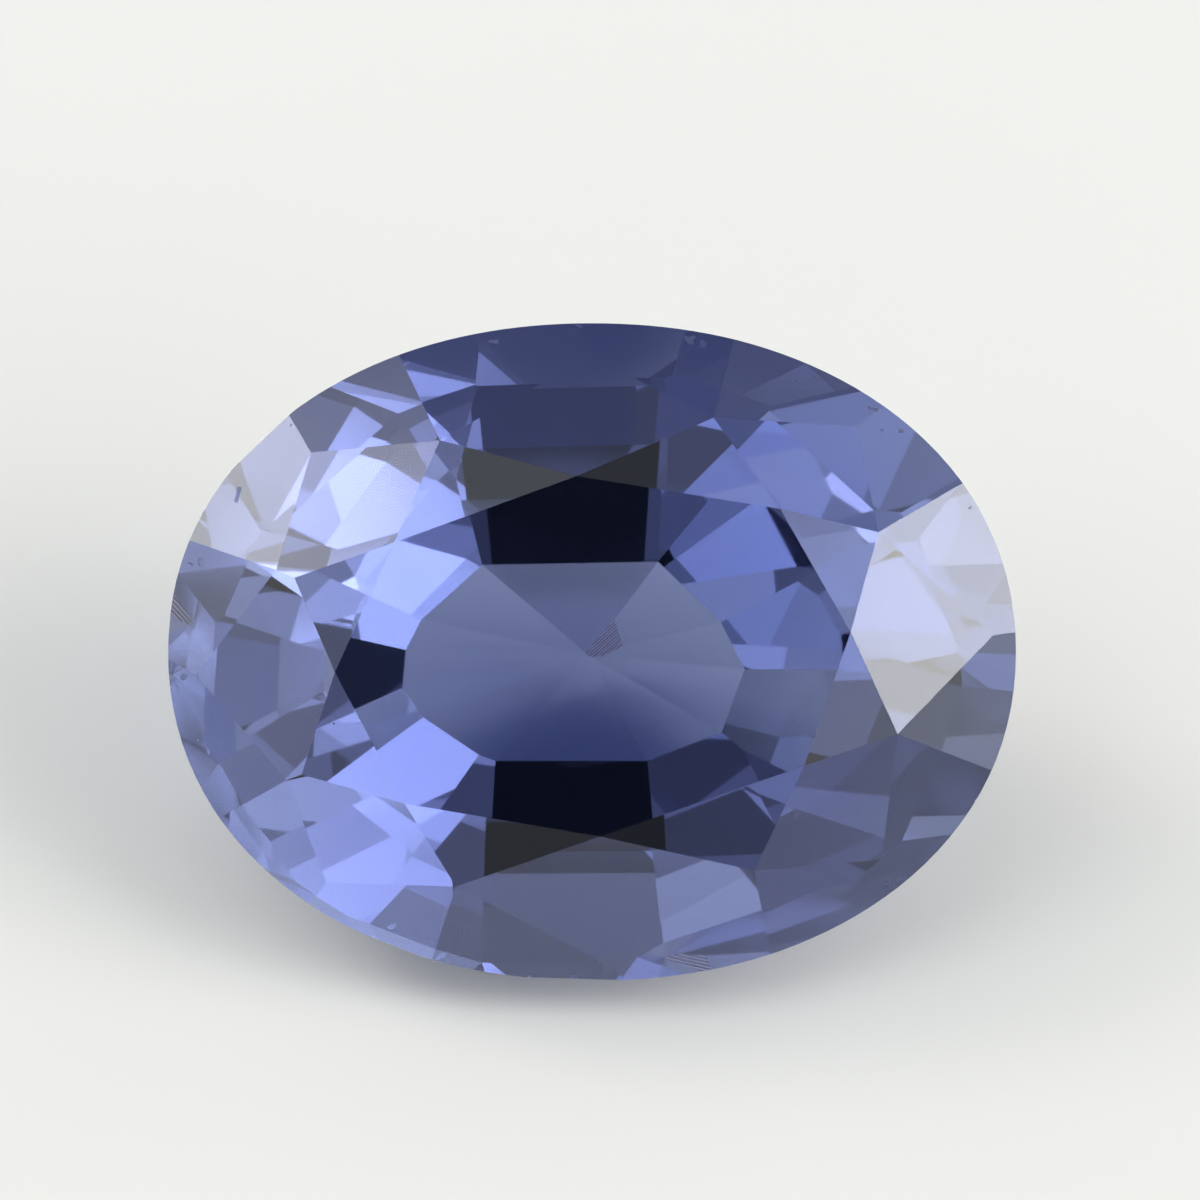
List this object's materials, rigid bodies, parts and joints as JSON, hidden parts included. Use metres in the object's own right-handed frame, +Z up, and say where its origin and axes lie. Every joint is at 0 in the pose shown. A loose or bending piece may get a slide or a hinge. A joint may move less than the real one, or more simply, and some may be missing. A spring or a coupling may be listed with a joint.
{
  "type": "cut iolite gemstone",
  "caption": "Loose oval faceted violet-blue iolite with a large table, brilliant-cut crown and stepped pavilion, lying on a pavilion facet.",
  "frame": {"origin": "centre of the bounding box's base, on the surface that the stone lies on, under its front pavilion facet", "axes": "+Z up, +X along the oval's length, and the table faces up and towards -Y"},
  "size_m": [0.0106, 0.0064, 0.0063],
  "materials": {
    "iolite_crystal": "clear polished crystal, violet-blue in the body, with a matt ground girdle"
  },
  "bodies": {
    "root": {"iolite": "iolite_crystal"}
  },
  "joints": []
}
